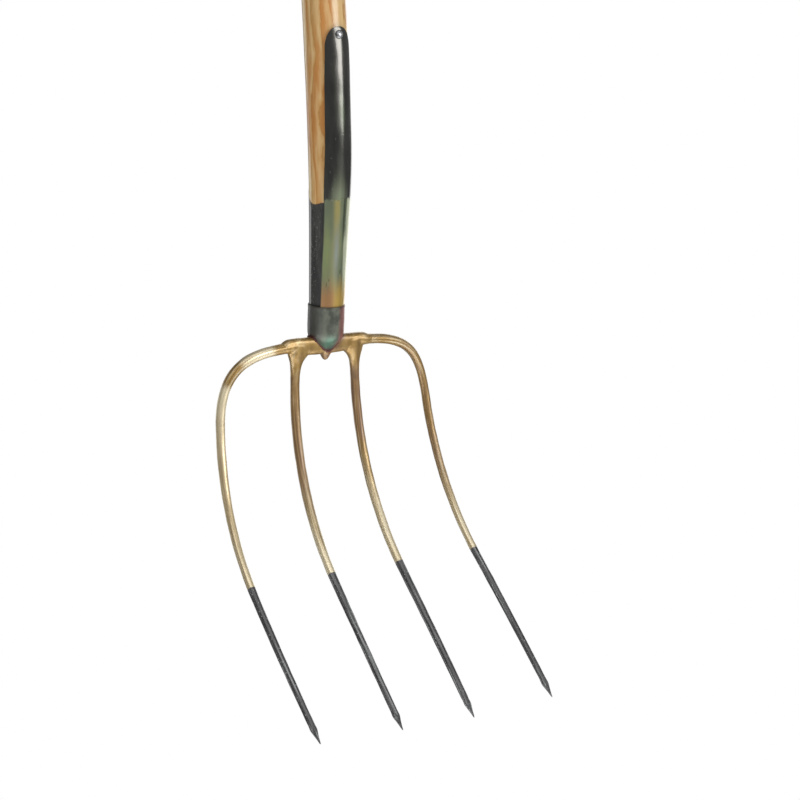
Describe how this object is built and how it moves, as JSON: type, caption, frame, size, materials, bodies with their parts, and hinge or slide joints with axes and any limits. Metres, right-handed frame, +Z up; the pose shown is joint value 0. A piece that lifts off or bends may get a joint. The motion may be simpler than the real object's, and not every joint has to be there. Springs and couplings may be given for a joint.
{
  "type": "digging fork",
  "caption": "Long-handled fork with slim curved round tines on a forged bridge, a strapped socket and a bent ash handle, for lifting manure, compost or loose earth.",
  "frame": {"origin": "on the axis of the straight handle, 150 mm above the top of its bend, where a hand or a holder's clip grips it", "axes": "+Z up the straight handle towards its free end, -Y forward, the way the tines curve, +X across the tines"},
  "size_m": [0.236, 0.1488, 1.6707],
  "materials": {
    "wood": "semi-gloss lacquered ash",
    "dark_steel": "glossy black lacquer",
    "strap_steel": "glossy black lacquer running into an iridescent passivated foot",
    "rivet_steel": "bright hammered",
    "sleeve_steel": "grey-green passivated steel, satin",
    "forged_steel": "gold-bronze lacquer over forged steel"
  },
  "bodies": {
    "root": {"handle": "wood", "socket_tube": "dark_steel", "front_strap": "strap_steel", "strap_rivet": "rivet_steel", "rivet_washer": "rivet_steel", "neck_sleeve": "sleeve_steel", "tang": "forged_steel", "bridge": "forged_steel", "tine_outer_left": "forged_steel", "tine_inner_left": "forged_steel", "tine_inner_right": "forged_steel", "tine_outer_right": "forged_steel"}
  },
  "joints": []
}
